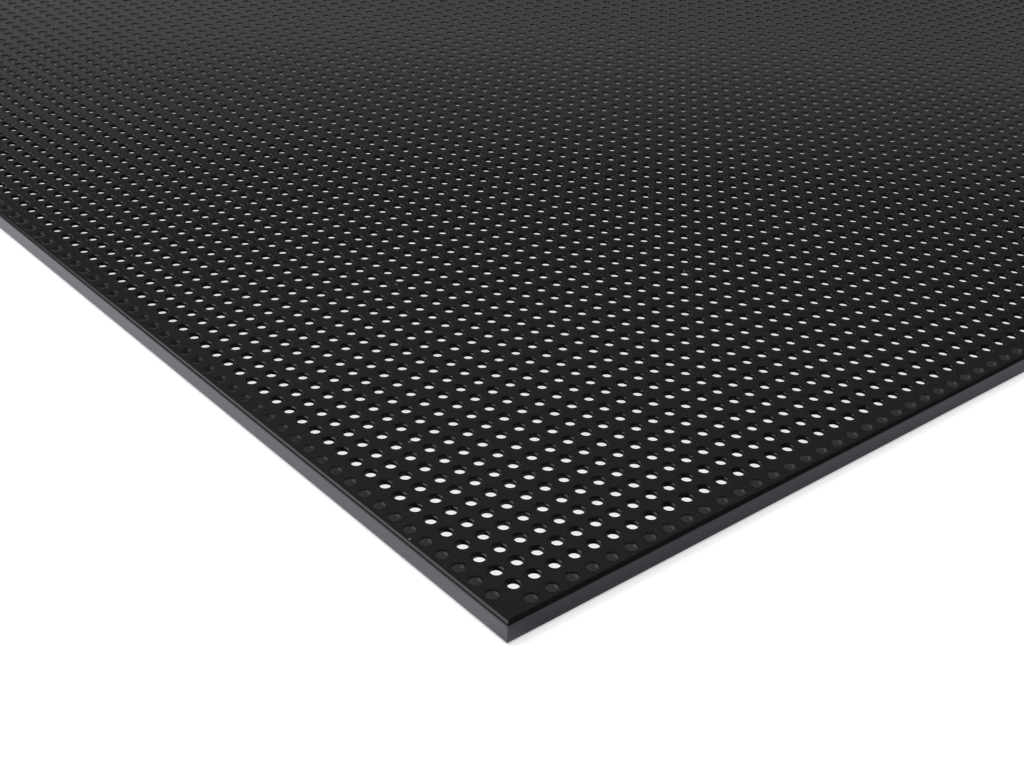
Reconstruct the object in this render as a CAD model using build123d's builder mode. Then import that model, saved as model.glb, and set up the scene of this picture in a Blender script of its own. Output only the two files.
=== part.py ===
"""Perforated steel sheet with its four edges folded down and returned underneath.

One piece of thin sheet metal, in millimetres. It lies flat with +Z up, and its origin is the
centre of its footprint on the floor. Round holes stand in straight rows and columns over the
whole top, and the outermost row on each side stands over the returned edge. The four corners
have no hole.
"""

import os

from build123d import *
from build123d.topology import SkipClean

# The sheet and its folded edge
sheet_width = 401.0  # outside, along X
sheet_depth = 401.0  # outside, along Y
sheet_thickness = 0.8
edge_height = 5.0  # floor to top face
return_width = 8.5  # outside face to the free edge underneath
bend_inner_radius = 0.15
mitre_gap = 0.6  # slit at 45 degrees between neighbouring returns

# The perforation
hole_diameter = 2.5
hole_pitch = 5.0
edge_distance = 3.0  # outside face to the centres of the outermost row
rows_in_band = 4

# Worked out from the sizes above
bend_radius = bend_inner_radius + sheet_thickness
underside = edge_height - sheet_thickness
columns = int((sheet_width - 2 * edge_distance) // hole_pitch) + 1
rows = int((sheet_depth - 2 * edge_distance) // hole_pitch) + 1
field_width = sheet_width - 2 * bend_radius
field_depth = sheet_depth - 2 * bend_radius


def folded_block(width, depth, bottom, top, radius):
    """A block whose level edges are bends of one radius, meeting in a mitre at each corner."""
    height = top - bottom
    middle = (top + bottom) / 2
    with BuildPart() as block:
        with BuildSketch(Plane.XZ):
            with Locations((0, middle)):
                RectangleRounded(width, height, radius)
        extrude(amount=depth / 2, both=True)
        with BuildSketch(Plane.YZ):
            with Locations((0, middle)):
                RectangleRounded(depth, height, radius)
        extrude(amount=width / 2, both=True, mode=Mode.INTERSECT)
    return block.part


# The folded rim: upright edge, both bends and the return, open above for the flat field.
with BuildPart() as rim:
    add(folded_block(sheet_width, sheet_depth, 0, edge_height, bend_radius))
    add(
        folded_block(
            sheet_width - 2 * sheet_thickness,
            sheet_depth - 2 * sheet_thickness,
            sheet_thickness,
            underside,
            bend_inner_radius,
        ),
        mode=Mode.SUBTRACT,
    )
    with BuildSketch():
        Rectangle(sheet_width - 2 * return_width, sheet_depth - 2 * return_width)
    extrude(amount=underside, mode=Mode.SUBTRACT)
    with BuildSketch(Plane.XY.offset(underside)):
        Rectangle(field_width, field_depth)
    extrude(amount=sheet_thickness, mode=Mode.SUBTRACT)

    # Each corner of the return is slit from the free edge to just short of the bend.
    slit_start = return_width + mitre_gap
    slit_end = 2 * bend_radius
    slit_middle = (slit_start + slit_end) / 2
    slit_length = (slit_start - slit_end) * 2**0.5
    with BuildSketch():
        for side_x in (-1, 1):
            for side_y in (-1, 1):
                corner = (
                    side_x * (sheet_width / 2 - slit_middle),
                    side_y * (sheet_depth / 2 - slit_middle),
                )
                with Locations(corner):
                    Rectangle(slit_length, mitre_gap, rotation=45 * side_x * side_y)
    extrude(amount=sheet_thickness, mode=Mode.SUBTRACT)

# The hole centres, row by row. The four corners stay whole.
centres = []
for row in range(rows):
    corner_columns = (0, columns - 1) if row in (0, rows - 1) else ()
    row_centres = []
    for column in range(columns):
        if column not in corner_columns:
            row_centres.append(
                ((column - (columns - 1) / 2) * hole_pitch, (row - (rows - 1) / 2) * hole_pitch)
            )
    centres.append(row_centres)

# The flat field, in bands of a few rows so that no face carries thousands of holes. The first
# and last bands reach out to the bends.
bands = []
for first_row in range(0, rows, rows_in_band):
    next_row = min(first_row + rows_in_band, rows)
    front = (first_row - rows / 2) * hole_pitch if first_row > 0 else -field_depth / 2
    back = (next_row - rows / 2) * hole_pitch if next_row < rows else field_depth / 2
    with BuildPart() as band:
        with BuildSketch(Plane.XY.offset(underside)):
            with Locations((0, (front + back) / 2)):
                Rectangle(field_width, back - front)
            with Locations(*sum(centres[first_row:next_row], [])):
                Circle(hole_diameter / 2, mode=Mode.SUBTRACT)
        extrude(amount=sheet_thickness, clean=False)
    bands.append(band.part)

# One solid. The seams between the bands stay, as lines on the flat faces.
with BuildPart() as sheet:
    with SkipClean():
        add(rim.part)
        add(bands)

sheet.part.label = "perforated_sheet"
os.makedirs("parts", exist_ok=True)
export_step(sheet.part, "parts/perforated_sheet.step")
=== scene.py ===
"""Looks for the perforated sheet: black powder coat on a white studio floor. Metres, CAD frame."""

import math

import bpy
from mathutils import Matrix, Vector


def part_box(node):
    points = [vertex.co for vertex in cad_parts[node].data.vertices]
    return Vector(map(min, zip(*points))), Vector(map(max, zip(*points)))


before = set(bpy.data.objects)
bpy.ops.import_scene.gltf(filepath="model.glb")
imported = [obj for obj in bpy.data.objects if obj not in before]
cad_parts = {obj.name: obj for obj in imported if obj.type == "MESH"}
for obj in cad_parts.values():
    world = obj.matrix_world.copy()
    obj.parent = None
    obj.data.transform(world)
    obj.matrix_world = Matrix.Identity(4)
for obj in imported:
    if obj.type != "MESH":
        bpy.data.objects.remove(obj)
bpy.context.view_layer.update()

NODE = "perforated_sheet"
MM = 0.001

# The sheet, as the CAD has it
LOW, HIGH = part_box(NODE)
TOP = HIGH.z
HALF = HIGH.x
SHEET_THICKNESS = 0.8 * MM
BEND_RADIUS = 0.95 * MM
HOLE_RADIUS = 1.25 * MM
HOLE_PITCH = 5.0 * MM
OUTER_ROW = HALF - 5.5 * MM  # between the outermost row of holes and the next

# Camera, seen from the near corner of the top face
CAMERA_BACK_X = 140.8 * MM
CAMERA_BACK_Y = 161.3 * MM
CAMERA_ABOVE_TOP = 179.4 * MM
CAMERA_HEADING = math.radians(40.9)
CAMERA_DOWN = math.radians(31.2)
CAMERA_ROLL = math.radians(2.1)
SENSOR_WIDTH = 36.0
LENS = 54.8613
CLIP_START = 0.01

# Coat
COAT_COLOUR = (0.0065, 0.0065, 0.0070, 1)
COAT_ROUGHNESS = 0.15
COAT_IOR = 1.5
GRAIN_PER_METRE = 1600
GRAIN_DETAIL = 3
GRAIN_STRENGTH = 0.12
GRAIN_HEIGHT = 0.05 * MM
DUST_PER_METRE = 18
DUST_RADIUS = 0.3 * MM
DUST_COLOUR = (0.12, 0.12, 0.12, 1)

# How the coat rolls into a hole. A slope is the sine of the angle between normal and upright.
RIM_WIDTH = 0.8 * MM
RIM_DEPTH = 0.2 * MM
NEAR_RIM_SLOPE = 0.6
FAR_RIM_SLOPE = 0.15
RIM_FADE = (-0.30, 0.05)  # from the near corner (-1) to the far one (1)
OUTER_ROW_SHARE = 0.25
STEEPEST = 0.999

# Painted glow on the coat inside the folded edge, standing in for stray light, seen through the
# outermost row
PAINTED_INSIDE_GLOW = 0.030
FAR_PAINTED_INSIDE_GLOW = 0.0105
INSIDE_FADE = (-HALF + 45 * MM, -HALF + 110 * MM)  # along Y
INSIDE_REACH = HALF - SHEET_THICKNESS + 0.05 * MM
INSIDE_TOP = TOP - 0.1 * SHEET_THICKNESS
INSIDE_BOTTOM = 0.9 * SHEET_THICKNESS

# Just above and just below the underside of the perforated field
IN_PLATE = TOP - 0.98 * SHEET_THICKNESS
BELOW_PLATE = TOP - 1.02 * SHEET_THICKNESS

# Light
AMBIENT = 0.84
KEY_STRENGTH = 0.95
KEY_ANGLE = math.radians(50)
KEY_ELEVATION = math.radians(50)
KEY_TURN = math.radians(55)
# How bright the studio is in a reflection, from the horizon (0) to straight up (1)
STUDIO_BY_HEIGHT = (
    (0.0, 0.03),
    (0.15, 0.05),
    (0.28, 0.30),
    (0.31, 0.32),
    (0.345, 0.23),
    (0.375, 0.09),
    (0.40, 0.04),
    (0.43, 0.055),
    (0.50, 0.135),
    (0.56, 0.13),
    (0.61, 0.19),
    (0.66, 0.14),
    (0.74, 0.01),
    (1.0, 0.01),
)
# Start and end of a range of directions, and the share of that brightness at each
STUDIO_BACK_TO_FRONT = (-0.2, 0.5, 0.05, 1.0)  # along Y
STUDIO_LEFT_TO_RIGHT = (0.35, 0.78, 1.18, 0.84)  # along X

# Floor
FLOOR_SIZE = 6
FLOOR_DROP = 0.02 * MM
FLOOR_COLOUR = (0.95, 0.95, 0.95, 1)
# Painted reflection: the open floor's colour as the sheet reflects it, darker and bluer
PAINTED_REFLECTION_FLOOR_COLOUR = (0.50, 0.49, 0.57, 1)
# Painted shade: a darker floor colour under the sheet
PAINTED_SHADE_FLOOR_COLOUR = (0.3, 0.3, 0.3, 1)
UNDER_SHEET = HALF - 2 * MM
# Tint of the floor's glow as the camera sees it, on the white open floor and on the painted light
# under the sheet
GROUND_TINT = (1.0, 0.99, 0.985, 1)
# Tint of the floor's painted reflection glow
PAINTED_REFLECTION_TINT = (0.90, 0.92, 1.0, 1)
# Brightness that the open floor gains as the camera sees it, to be white
OPEN_FLOOR = 0.38
# Painted light on the floor under the sheet, as the camera sees it through the holes, dimmer
# towards the back as painted shade, from the near corner (-1) to the far one (1)
PAINTED_LIGHT_UNDER_SHEET_BY_DEPTH = (
    (-1.0, 0.86),
    (-0.85, 0.82),
    (-0.60, 0.74),
    (-0.40, 0.74),
    (-0.25, 0.66),
    (-0.05, 0.46),
    (0.15, 0.38),
    (1.0, 0.36),
)
# Painted reflection: brightness of that floor as the walls of the holes reflect it, before the
# gain
PAINTED_WALL_REFLECTION_BY_DEPTH = (
    (-1.0, 0.16),
    (-0.85, 0.10),
    (-0.70, 0.03),
    (-0.30, 0.03),
    (-0.17, 0.35),
    (-0.05, 0.65),
    (0.08, 0.95),
    (0.25, 0.80),
    (1.0, 0.80),
)
PAINTED_WALL_REFLECTION_GAIN = 2.2
# Painted reflection: brightness that the open floor gains in a reflection, left and right of the
# sheet.
# The left side's share runs along Y, from the near corner (-1) on.
PAINTED_LEFT_REFLECTION = 1.2
PAINTED_LEFT_REFLECTION_BY_LENGTH = ((-1.0, 1.0), (-0.8, 0.82), (-0.36, 0.78), (-0.1, 0.70), (1.0, 0.68))
PAINTED_RIGHT_REFLECTION = 0.17
SIDE_BLEND = 10 * MM


class Nodes:
    """Short forms for building a node tree."""

    def __init__(self, tree):
        self.tree = tree
        self.tree.nodes.clear()

    def new(self, kind, **settings):
        node = self.tree.nodes.new(kind)
        for name, value in settings.items():
            setattr(node, name, value)
        return node

    def link(self, out_socket, in_socket):
        self.tree.links.new(out_socket, in_socket)

    def put(self, value, in_socket):
        if isinstance(value, (int, float, tuple)):
            in_socket.default_value = value
        else:
            self.link(value, in_socket)

    def math(self, operation, first, second=None):
        node = self.new("ShaderNodeMath", operation=operation)
        self.put(first, node.inputs[0])
        if second is not None:
            self.put(second, node.inputs[1])
        return node.outputs[0]

    def add(self, first, second):
        return self.math("ADD", first, second)

    def subtract(self, first, second):
        return self.math("SUBTRACT", first, second)

    def times(self, first, second):
        return self.math("MULTIPLY", first, second)

    def largest(self, first, second):
        return self.math("MAXIMUM", first, second)

    def less(self, first, second):
        return self.math("LESS_THAN", first, second)

    def more(self, first, second):
        return self.math("GREATER_THAN", first, second)

    def mix_colour(self, choice, no, yes):
        node = self.new("ShaderNodeMix", data_type="RGBA")
        self.put(choice, node.inputs["Factor"])
        self.put(no, node.inputs[6])
        self.put(yes, node.inputs[7])
        return node.outputs[2]

    def mix_value(self, choice, no, yes):
        """no or yes, for a choice of 0 or 1."""
        return self.add(no, self.times(self.subtract(yes, no), choice))

    def split(self, vector):
        node = self.new("ShaderNodeSeparateXYZ")
        self.link(vector, node.inputs[0])
        return node.outputs

    def span(self, value, start, end, low, high, interpolation="LINEAR"):
        """low at the start of a range, high at its end, and level beyond both."""
        node = self.new("ShaderNodeMapRange", interpolation_type=interpolation)
        self.put(value, node.inputs["Value"])
        node.inputs["From Min"].default_value = start
        node.inputs["From Max"].default_value = end
        node.inputs["To Min"].default_value = low
        node.inputs["To Max"].default_value = high
        return node.outputs["Result"]

    def curve(self, value, points):
        """A smooth line through (position, value) points, with values up to 1."""
        low, high = points[0][0], points[-1][0]
        ramp = self.new("ShaderNodeValToRGB")
        ramp.color_ramp.interpolation = "EASE"
        self.link(self.span(value, low, high, 0, 1), ramp.inputs["Fac"])
        steps = ramp.color_ramp.elements
        while len(steps) < len(points):
            steps.new(0.5)
        for step, (position, level) in zip(steps, points):
            step.position = (position - low) / (high - low)
            step.color = (level, level, level, 1)
        return ramp.outputs["Color"]

    def reach(self, spot):
        """How far a spot is from the middle of the sheet, along X or Y, whichever is more."""
        return self.largest(self.math("ABSOLUTE", spot["X"]), self.math("ABSOLUTE", spot["Y"]))

    def depth(self, spot):
        """Where a spot is between the near corner (-1) and the far one (1)."""
        return self.times(self.add(spot["X"], spot["Y"]), 0.5 / HALF)

    def from_hole(self, coordinate):
        """Distance from the middle of the nearest hole along one axis, in pitches."""
        return self.subtract(self.math("FRACT", self.times(coordinate, 1 / HOLE_PITCH)), 0.5)


def new_material(name):
    material = bpy.data.materials.new(name)
    material.use_nodes = True
    return material, Nodes(material.node_tree)


def rolled_rims(nodes, spot):
    """The normal of the coat, which rolls down into each hole of the perforated field."""
    across = nodes.from_hole(spot["X"])
    along = nodes.from_hole(spot["Y"])
    away = nodes.math("SQRT", nodes.add(nodes.times(across, across), nodes.times(along, along)))
    on_rim = nodes.span(
        away, (HOLE_RADIUS + RIM_WIDTH) / HOLE_PITCH, HOLE_RADIUS / HOLE_PITCH, 0, 1
    )
    rim_slope = nodes.span(nodes.depth(spot), *RIM_FADE, NEAR_RIM_SLOPE, FAR_RIM_SLOPE)
    rim = nodes.times(on_rim, rim_slope)
    wall = nodes.span(spot["Z"], TOP, TOP - RIM_DEPTH, 0, 1)
    steeper = nodes.times(nodes.subtract(1.0, rim), wall)
    slope = nodes.math("MINIMUM", nodes.add(rim, steeper), STEEPEST)

    # The four corners have no hole, and the outermost row has softer rims.
    nearest_side = nodes.math(
        "MINIMUM", nodes.math("ABSOLUTE", spot["X"]), nodes.math("ABSOLUTE", spot["Y"])
    )
    has_hole = nodes.less(nearest_side, OUTER_ROW)
    in_outer_row = nodes.more(nodes.reach(spot), OUTER_ROW)
    share = nodes.times(has_hole, nodes.span(in_outer_row, 0, 1, 1, OUTER_ROW_SHARE))
    slope = nodes.times(slope, share)

    level = nodes.math("SQRT", nodes.subtract(1.0, nodes.times(slope, slope)))
    inward = nodes.times(nodes.math("DIVIDE", slope, away), -1)
    normal = nodes.new("ShaderNodeCombineXYZ")
    nodes.link(nodes.times(across, inward), normal.inputs["X"])
    nodes.link(nodes.times(along, inward), normal.inputs["Y"])
    nodes.link(level, normal.inputs["Z"])

    in_field = nodes.less(nodes.reach(spot), HALF - BEND_RADIUS)
    in_plate = nodes.more(spot["Z"], IN_PLATE)
    plain = nodes.new("ShaderNodeNewGeometry")
    choice = nodes.new("ShaderNodeMix", data_type="VECTOR")
    nodes.link(nodes.times(in_field, in_plate), choice.inputs["Factor"])
    nodes.link(plain.outputs["Normal"], choice.inputs[4])
    nodes.link(normal.outputs["Vector"], choice.inputs[5])
    return choice.outputs[1]


def painted_inside_glow_strength(nodes, spot):
    """Strength of the painted glow, standing in for stray light, on the surfaces of the space
    inside the folded edge.
    """
    reach = nodes.reach(spot)
    inside = nodes.less(reach, INSIDE_REACH)
    below = nodes.less(spot["Z"], INSIDE_TOP)
    above = nodes.more(spot["Z"], INSIDE_BOTTOM)
    # Of the walls of the holes, only those of the outermost row get the painted glow.
    beneath = nodes.less(spot["Z"], BELOW_PLATE)
    in_outer_row = nodes.more(reach, OUTER_ROW)
    painted_glow_mask = nodes.times(
        nodes.times(nodes.times(inside, below), above), nodes.largest(beneath, in_outer_row)
    )
    light = nodes.span(spot["Y"], *INSIDE_FADE, PAINTED_INSIDE_GLOW, FAR_PAINTED_INSIDE_GLOW)
    return nodes.times(painted_glow_mask, light)


def powder_coat():
    """Near-black semi-gloss powder coat with a fine grain and softly rounded rims."""
    material, nodes = new_material("black_powder_coat")
    output = nodes.new("ShaderNodeOutputMaterial")
    shader = nodes.new("ShaderNodeBsdfPrincipled")
    shader.inputs["Roughness"].default_value = COAT_ROUGHNESS
    shader.inputs["IOR"].default_value = COAT_IOR
    place = nodes.new("ShaderNodeTexCoord")
    spot = nodes.split(place.outputs["Object"])

    grain = nodes.new("ShaderNodeTexNoise")
    grain.inputs["Scale"].default_value = GRAIN_PER_METRE
    grain.inputs["Detail"].default_value = GRAIN_DETAIL
    nodes.link(place.outputs["Object"], grain.inputs["Vector"])
    bump = nodes.new("ShaderNodeBump")
    bump.inputs["Strength"].default_value = GRAIN_STRENGTH
    bump.inputs["Distance"].default_value = GRAIN_HEIGHT
    nodes.link(grain.outputs["Fac"], bump.inputs["Height"])
    nodes.link(rolled_rims(nodes, spot), bump.inputs["Normal"])
    nodes.link(bump.outputs["Normal"], shader.inputs["Normal"])

    # A few faint specks of dust
    dust = nodes.new("ShaderNodeTexVoronoi", voronoi_dimensions="2D")
    dust.inputs["Scale"].default_value = DUST_PER_METRE
    nodes.link(place.outputs["Object"], dust.inputs["Vector"])
    speck = nodes.less(dust.outputs["Distance"], DUST_RADIUS * DUST_PER_METRE)
    nodes.link(nodes.mix_colour(speck, COAT_COLOUR, DUST_COLOUR), shader.inputs["Base Color"])

    # Painted glow: emission inside the folded edge, standing in for stray light
    shader.inputs["Emission Color"].default_value = (1, 1, 1, 1)
    nodes.link(painted_inside_glow_strength(nodes, spot), shader.inputs["Emission Strength"])
    nodes.link(shader.outputs[0], output.inputs["Surface"])
    return material


def floor_material():
    """White floor, with painted light and shade where it shows through the holes and a painted
    reflection where it is reflected.
    """
    material, nodes = new_material("studio_floor")
    output = nodes.new("ShaderNodeOutputMaterial")
    path = nodes.new("ShaderNodeLightPath")
    direct = nodes.largest(path.outputs["Is Camera Ray"], path.outputs["Is Transmission Ray"])
    mirrored = path.outputs["Is Glossy Ray"]
    place = nodes.new("ShaderNodeNewGeometry")
    spot = nodes.split(place.outputs["Position"])
    under = nodes.less(nodes.reach(spot), UNDER_SHEET)
    outside = nodes.subtract(1.0, under)

    depth = nodes.depth(spot)
    # Painted light under the sheet, dimmer towards the back, seen by the camera through the holes
    painted_light_under_sheet = nodes.times(nodes.curve(depth, PAINTED_LIGHT_UNDER_SHEET_BY_DEPTH), under)
    # Painted reflection of the floor under the sheet in the walls of the holes
    walls = nodes.times(nodes.times(nodes.curve(depth, PAINTED_WALL_REFLECTION_BY_DEPTH), PAINTED_WALL_REFLECTION_GAIN), under)
    # Painted reflection of the open floor in the sheet's faces, brighter on the left than on the
    # right
    leftward = nodes.subtract(spot["Y"], spot["X"])
    is_left = nodes.span(leftward, -SIDE_BLEND, SIDE_BLEND, 0, 1)
    length = nodes.times(spot["Y"], 1 / HALF)
    left = nodes.times(nodes.curve(length, PAINTED_LEFT_REFLECTION_BY_LENGTH), PAINTED_LEFT_REFLECTION)
    side = nodes.add(
        nodes.times(left, is_left), nodes.times(nodes.subtract(1.0, is_left), PAINTED_RIGHT_REFLECTION)
    )

    glow = nodes.new("ShaderNodeEmission")
    glow.inputs["Color"].default_value = GROUND_TINT
    seen = nodes.add(painted_light_under_sheet, nodes.times(outside, OPEN_FLOOR))
    nodes.link(nodes.times(seen, direct), glow.inputs["Strength"])
    # Painted reflection: a glow seen only in reflections
    painted_reflection_glow = nodes.new("ShaderNodeEmission")
    painted_reflection_glow.inputs["Color"].default_value = PAINTED_REFLECTION_TINT
    reflected = nodes.add(walls, nodes.times(outside, side))
    nodes.link(nodes.times(reflected, mirrored), painted_reflection_glow.inputs["Strength"])
    diffuse = nodes.new("ShaderNodeBsdfDiffuse")
    # Painted reflection colour of the open floor
    open_floor = nodes.mix_colour(mirrored, FLOOR_COLOUR, PAINTED_REFLECTION_FLOOR_COLOUR)
    # Painted shade: a darker floor colour under the sheet
    colour = nodes.mix_colour(under, open_floor, PAINTED_SHADE_FLOOR_COLOUR)
    nodes.link(colour, diffuse.inputs["Color"])

    glows = nodes.new("ShaderNodeAddShader")
    nodes.link(glow.outputs[0], glows.inputs[0])
    nodes.link(painted_reflection_glow.outputs[0], glows.inputs[1])
    whole = nodes.new("ShaderNodeAddShader")
    nodes.link(diffuse.outputs[0], whole.inputs[0])
    nodes.link(glows.outputs[0], whole.inputs[1])
    nodes.link(whole.outputs[0], output.inputs["Surface"])
    return material


def make_floor():
    bpy.ops.mesh.primitive_plane_add(size=FLOOR_SIZE, location=(0, 0, -FLOOR_DROP))
    floor = bpy.context.object
    floor.name = "floor"
    floor.data.materials.append(floor_material())


def make_world():
    """Even soft light, white to the eye, and dim in reflections but for pale bands ahead."""
    world = bpy.data.worlds.new("studio")
    bpy.context.scene.world = world
    world.use_nodes = True
    nodes = Nodes(world.node_tree)
    output = nodes.new("ShaderNodeOutputWorld")
    path = nodes.new("ShaderNodeLightPath")
    place = nodes.new("ShaderNodeTexCoord")
    way = nodes.split(place.outputs["Generated"])
    ahead = nodes.span(way["Y"], *STUDIO_BACK_TO_FRONT, "SMOOTHSTEP")
    brighter_left = nodes.span(way["X"], *STUDIO_LEFT_TO_RIGHT)
    studio = nodes.times(
        nodes.curve(way["Z"], STUDIO_BY_HEIGHT), nodes.times(ahead, brighter_left)
    )
    strength = nodes.mix_value(path.outputs["Is Glossy Ray"], AMBIENT, studio)
    strength = nodes.mix_value(path.outputs["Is Camera Ray"], strength, 1.0)
    background = nodes.new("ShaderNodeBackground")
    background.inputs["Color"].default_value = (1, 1, 1, 1)
    nodes.link(strength, background.inputs["Strength"])
    nodes.link(background.outputs[0], output.inputs["Surface"])


def make_key_light():
    """Soft light from the left, behind the sheet."""
    data = bpy.data.lights.new("key", "SUN")
    data.energy = KEY_STRENGTH
    data.angle = KEY_ANGLE
    light = bpy.data.objects.new("key", data)
    bpy.context.collection.objects.link(light)
    level = math.cos(KEY_ELEVATION)
    towards_light = Vector(
        (-math.cos(KEY_TURN) * level, math.sin(KEY_TURN) * level, math.sin(KEY_ELEVATION))
    )
    light.rotation_euler = towards_light.to_track_quat("Z", "Y").to_euler()


def make_camera():
    data = bpy.data.cameras.new("camera")
    data.sensor_width = SENSOR_WIDTH
    data.lens = LENS
    data.clip_start = CLIP_START
    camera = bpy.data.objects.new("camera", data)
    bpy.context.collection.objects.link(camera)
    forward = Vector(
        (
            math.sin(CAMERA_HEADING) * math.cos(CAMERA_DOWN),
            math.cos(CAMERA_HEADING) * math.cos(CAMERA_DOWN),
            -math.sin(CAMERA_DOWN),
        )
    )
    right = Vector((math.cos(CAMERA_HEADING), -math.sin(CAMERA_HEADING), 0))
    up = right.cross(forward)
    turned_right = right * math.cos(CAMERA_ROLL) + up * math.sin(CAMERA_ROLL)
    turned_up = up * math.cos(CAMERA_ROLL) - right * math.sin(CAMERA_ROLL)
    turn = Matrix((turned_right, turned_up, -forward)).transposed().to_4x4()
    place = Vector((LOW.x - CAMERA_BACK_X, LOW.y - CAMERA_BACK_Y, TOP + CAMERA_ABOVE_TOP))
    camera.matrix_world = Matrix.Translation(place) @ turn
    bpy.context.scene.camera = camera


def dress_sheet():
    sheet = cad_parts[NODE]
    sheet.data.materials.clear()
    sheet.data.materials.append(powder_coat())


dress_sheet()
make_floor()
make_world()
make_key_light()
make_camera()
bpy.context.scene.view_settings.view_transform = "Standard"
